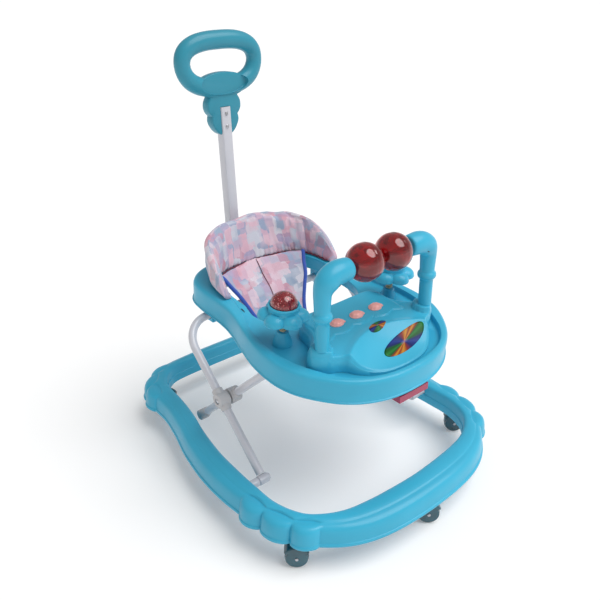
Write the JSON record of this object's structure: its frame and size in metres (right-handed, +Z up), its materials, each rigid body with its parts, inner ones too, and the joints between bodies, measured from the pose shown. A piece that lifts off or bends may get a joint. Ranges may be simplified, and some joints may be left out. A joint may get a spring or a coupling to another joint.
{
  "type": "baby walker",
  "caption": "Wheeled baby walker: lobed ring base on swivel casters, folding scissor legs, toy tray with rattle arch and spinners, padded seat and a push handle.",
  "frame": {"origin": "on the floor under the middle of the base ring and its casters", "axes": "+Z up, the tray's toy end looks along -Y and the push handle is at +Y, +X is the object's left-to-right width"},
  "size_m": [0.5758, 0.706, 0.8146],
  "materials": {
    "aqua_plastic": "moulded semi-gloss",
    "handle_plastic": "moulded semi-gloss",
    "tube_enamel": "white enamel, satin",
    "hub_plastic": "satin",
    "steel": "plain",
    "caster_plastic": "dark translucent look",
    "ball_clear": "tinted, glossy",
    "glitter_red": "glitter under a clear dome",
    "button_pink": "satin",
    "latch_red": "satin",
    "stem_beige": "satin",
    "patchwork_fabric": "printed padded cloth"
  },
  "bodies": {
    "base": {"base_ring": "aqua_plastic", "foot_pin_l": "steel", "foot_pin_r": "steel"},
    "caster_front": {"caster_hood_front": "caster_plastic", "caster_axle_front": "steel"},
    "wheel_front": {"caster_wheel_front": "caster_plastic"},
    "caster_front_r": {"caster_hood_front_r": "caster_plastic", "caster_axle_front_r": "steel"},
    "wheel_front_r": {"caster_wheel_front_r": "caster_plastic"},
    "caster_front_l": {"caster_hood_front_l": "caster_plastic", "caster_axle_front_l": "steel"},
    "wheel_front_l": {"caster_wheel_front_l": "caster_plastic"},
    "caster_rear_r": {"caster_hood_rear_r": "caster_plastic", "caster_axle_rear_r": "steel"},
    "wheel_rear_r": {"caster_wheel_rear_r": "caster_plastic"},
    "caster_rear_l": {"caster_hood_rear_l": "caster_plastic", "caster_axle_rear_l": "steel"},
    "wheel_rear_l": {"caster_wheel_rear_l": "caster_plastic"},
    "legs_outer": {"leg_outer": "tube_enamel", "hub_outer_l": "hub_plastic", "hub_outer_r": "hub_plastic", "hub_rivet_l": "steel", "hub_rivet_r": "steel"},
    "legs_inner": {"leg_inner": "tube_enamel", "hub_inner_l": "hub_plastic", "hub_inner_r": "hub_plastic", "foot_inner_l": "hub_plastic", "foot_inner_r": "hub_plastic"},
    "tray": {"tray_shell": "aqua_plastic", "toy_console": "aqua_plastic", "arch_post_l": "aqua_plastic", "arch_post_r": "aqua_plastic", "rattle_axle": "steel", "flower_stem_l": "stem_beige", "flower_stem_r": "stem_beige", "front_track": "aqua_plastic", "rear_clip_l": "aqua_plastic", "rear_clip_r": "aqua_plastic", "lever_guide": "aqua_plastic", "battery_box": "aqua_plastic", "pole_socket": "aqua_plastic", "seat_back": "patchwork_fabric", "seat_sling": "patchwork_fabric"},
    "ball_l": {"rattle_ball_l": "ball_clear"},
    "flower_l": {"flower_petals_l": "aqua_plastic", "flower_dome_l": "glitter_red"},
    "ball_r": {"rattle_ball_r": "ball_clear"},
    "flower_r": {"flower_petals_r": "aqua_plastic", "flower_dome_r": "glitter_red"},
    "key_1": {"button_1": "button_pink"},
    "key_2": {"button_2": "button_pink"},
    "key_3": {"button_3": "button_pink"},
    "lever": {"height_lever": "latch_red"},
    "handle": {"handle_pole": "tube_enamel", "grip_loop": "handle_plastic", "handle_screw_1": "steel", "handle_screw_2": "steel"}
  },
  "joints": [
    {"name": "fold", "type": "hinge", "parent": "base", "child": "legs_outer", "pos_m": [0, -0.114, 0.078], "axis": [-1, 0, 0], "range_deg": [0, 16]},
    {"name": "hub_pivot", "type": "hinge", "parent": "legs_outer", "child": "legs_inner", "pos_m": [0, 0.0079, 0.19009], "axis": [-1, 0, 0], "range_deg": [-32, 0]},
    {"name": "tray_level", "type": "hinge", "parent": "legs_outer", "child": "tray", "pos_m": [0, 0.12979, 0.30218], "axis": [-1, 0, 0], "range_deg": [-16, 0]},
    {"name": "swivel_front", "type": "hinge", "parent": "base", "child": "caster_front", "pos_m": [0, -0.3215, 0.05], "axis": [0, 0, 1], "continuous": true},
    {"name": "roll_front", "type": "hinge", "parent": "caster_front", "child": "wheel_front", "pos_m": [0.00919, -0.32921, 0.021], "axis": [-0.6428, -0.766, 0], "continuous": true},
    {"name": "swivel_front_r", "type": "hinge", "parent": "base", "child": "caster_front_r", "pos_m": [0.253, -0.178, 0.05], "axis": [0, 0, 1], "continuous": true},
    {"name": "roll_front_r", "type": "hinge", "parent": "caster_front_r", "child": "wheel_front_r", "pos_m": [0.26219, -0.18571, 0.021], "axis": [-0.6428, -0.766, 0], "continuous": true},
    {"name": "swivel_front_l", "type": "hinge", "parent": "base", "child": "caster_front_l", "pos_m": [-0.2315, -0.2585, 0.05], "axis": [0, 0, 1], "continuous": true},
    {"name": "roll_front_l", "type": "hinge", "parent": "caster_front_l", "child": "wheel_front_l", "pos_m": [-0.24069, -0.25079, 0.021], "axis": [0.6428, 0.766, 0], "continuous": true},
    {"name": "swivel_rear_r", "type": "hinge", "parent": "base", "child": "caster_rear_r", "pos_m": [0.18, 0.3115, 0.05], "axis": [0, 0, 1], "continuous": true},
    {"name": "roll_rear_r", "type": "hinge", "parent": "caster_rear_r", "child": "wheel_rear_r", "pos_m": [0.18919, 0.30379, 0.021], "axis": [-0.6428, -0.766, 0], "continuous": true},
    {"name": "swivel_rear_l", "type": "hinge", "parent": "base", "child": "caster_rear_l", "pos_m": [-0.18, 0.3115, 0.05], "axis": [0, 0, 1], "continuous": true},
    {"name": "roll_rear_l", "type": "hinge", "parent": "caster_rear_l", "child": "wheel_rear_l", "pos_m": [-0.17081, 0.30379, 0.021], "axis": [-0.6428, -0.766, 0], "continuous": true},
    {"name": "ball_spin_l", "type": "hinge", "parent": "tray", "child": "ball_l", "pos_m": [-0.0341, -0.188, 0.487], "axis": [1, 0, 0], "continuous": true},
    {"name": "flower_spin_l", "type": "hinge", "parent": "tray", "child": "flower_l", "pos_m": [-0.134, -0.09503, 0.39247], "axis": [0, -0.0995, 0.995], "continuous": true},
    {"name": "ball_spin_r", "type": "hinge", "parent": "tray", "child": "ball_r", "pos_m": [0.0341, -0.188, 0.487], "axis": [1, 0, 0], "continuous": true},
    {"name": "flower_spin_r", "type": "hinge", "parent": "tray", "child": "flower_r", "pos_m": [0.134, -0.09503, 0.39247], "axis": [0, -0.0995, 0.995], "continuous": true},
    {"name": "button_press_1", "type": "slide", "parent": "tray", "child": "key_1", "axis": [0, 0.0995, -0.995], "range_m": [0, 0.003], "stiffness_N_per_m": 250},
    {"name": "button_press_2", "type": "slide", "parent": "tray", "child": "key_2", "axis": [0, 0.0995, -0.995], "range_m": [0, 0.003], "stiffness_N_per_m": 250},
    {"name": "button_press_3", "type": "slide", "parent": "tray", "child": "key_3", "axis": [0, 0.0995, -0.995], "range_m": [0, 0.003], "stiffness_N_per_m": 250},
    {"name": "lever_pull", "type": "slide", "parent": "tray", "child": "lever", "axis": [0, -1, 0], "range_m": [0, 0.006], "stiffness_N_per_m": 400},
    {"name": "handle_lift", "type": "slide", "parent": "tray", "child": "handle", "axis": [0, 0.0383, 0.9993], "range_m": [0, 0.05]}
  ],
  "couplings": [
    {"joint": "hub_pivot", "follows": "fold", "ratio": -2},
    {"joint": "tray_level", "follows": "fold", "ratio": -1}
  ]
}
